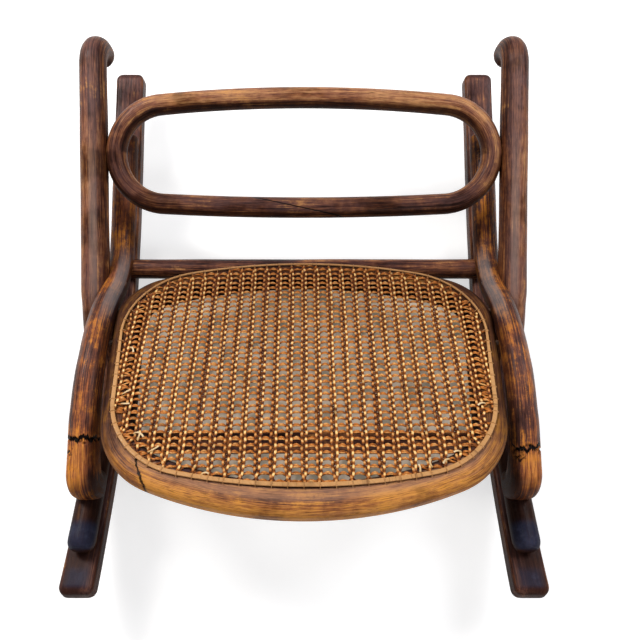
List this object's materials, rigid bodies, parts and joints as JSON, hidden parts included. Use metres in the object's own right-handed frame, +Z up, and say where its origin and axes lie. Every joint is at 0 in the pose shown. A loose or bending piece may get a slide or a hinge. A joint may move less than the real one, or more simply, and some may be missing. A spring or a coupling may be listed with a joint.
{
  "type": "rocking footstool",
  "caption": "Small bentwood rocking footstool: a hand-caned seat in a bent rim between rocker frames, with an oval ring behind it.",
  "frame": {"origin": "middle of the box on the floor, under the frame, at rest", "axes": "+X to the right seen from the seat's raised front edge, +Y to the back ring, +Z up"},
  "size_m": [0.4358, 0.5276, 0.1484],
  "materials": {
    "rocker_wood": "worn varnish",
    "rail_wood": "worn varnish",
    "post_wood": "worn varnish",
    "ring_wood": "worn varnish",
    "rim_wood": "worn varnish",
    "stretcher_wood": "worn varnish",
    "woven_cane": "aged glossy cane",
    "binding": "aged glossy cane",
    "screw_steel": "dull"
  },
  "bodies": {
    "root": {"left_rocker": "rocker_wood", "right_rocker": "rocker_wood", "left_side_rail": "rail_wood", "right_side_rail": "rail_wood", "left_back_post": "post_wood", "right_back_post": "post_wood", "back_ring": "ring_wood", "seat_ring": "rim_wood", "cane_panel": "woven_cane", "binding_cane": "binding", "binding_loops": "binding", "rear_stretcher": "stretcher_wood", "front_stretcher": "stretcher_wood", "rail_lap_screws": "screw_steel", "foot_screws": "screw_steel", "tip_screws": "screw_steel", "crossing_screws": "screw_steel", "ring_screws": "screw_steel", "seat_side_screws": "screw_steel", "stretcher_screws": "screw_steel"}
  },
  "joints": []
}
